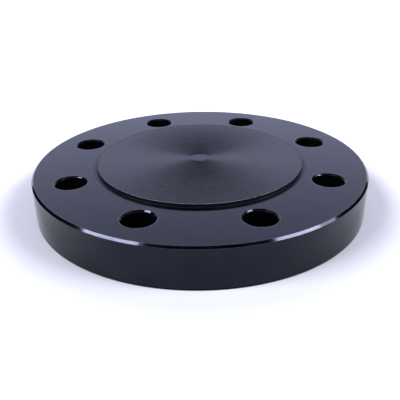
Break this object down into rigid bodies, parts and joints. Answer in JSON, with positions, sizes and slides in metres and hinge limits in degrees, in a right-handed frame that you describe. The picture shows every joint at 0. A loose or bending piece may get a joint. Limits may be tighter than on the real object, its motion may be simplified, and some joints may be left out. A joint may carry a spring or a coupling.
{
  "type": "blind flange",
  "caption": "Round raised-face blind flange with a ring of through bolt holes, for closing the end of a flanged pipe.",
  "frame": {"origin": "centre of the flat back face", "axes": "+Z along the pipe axis, out of the raised face; the bolt holes straddle the X and Y axes, with the first hole 22.5 degrees round from +X"},
  "size_m": [0.254, 0.254, 0.0332],
  "materials": {
    "black_coating": "glossy black rust-preventive paint on machined forged carbon steel, over the whole flange"
  },
  "bodies": {
    "root": {"blind_flange": "black_coating"}
  },
  "joints": []
}
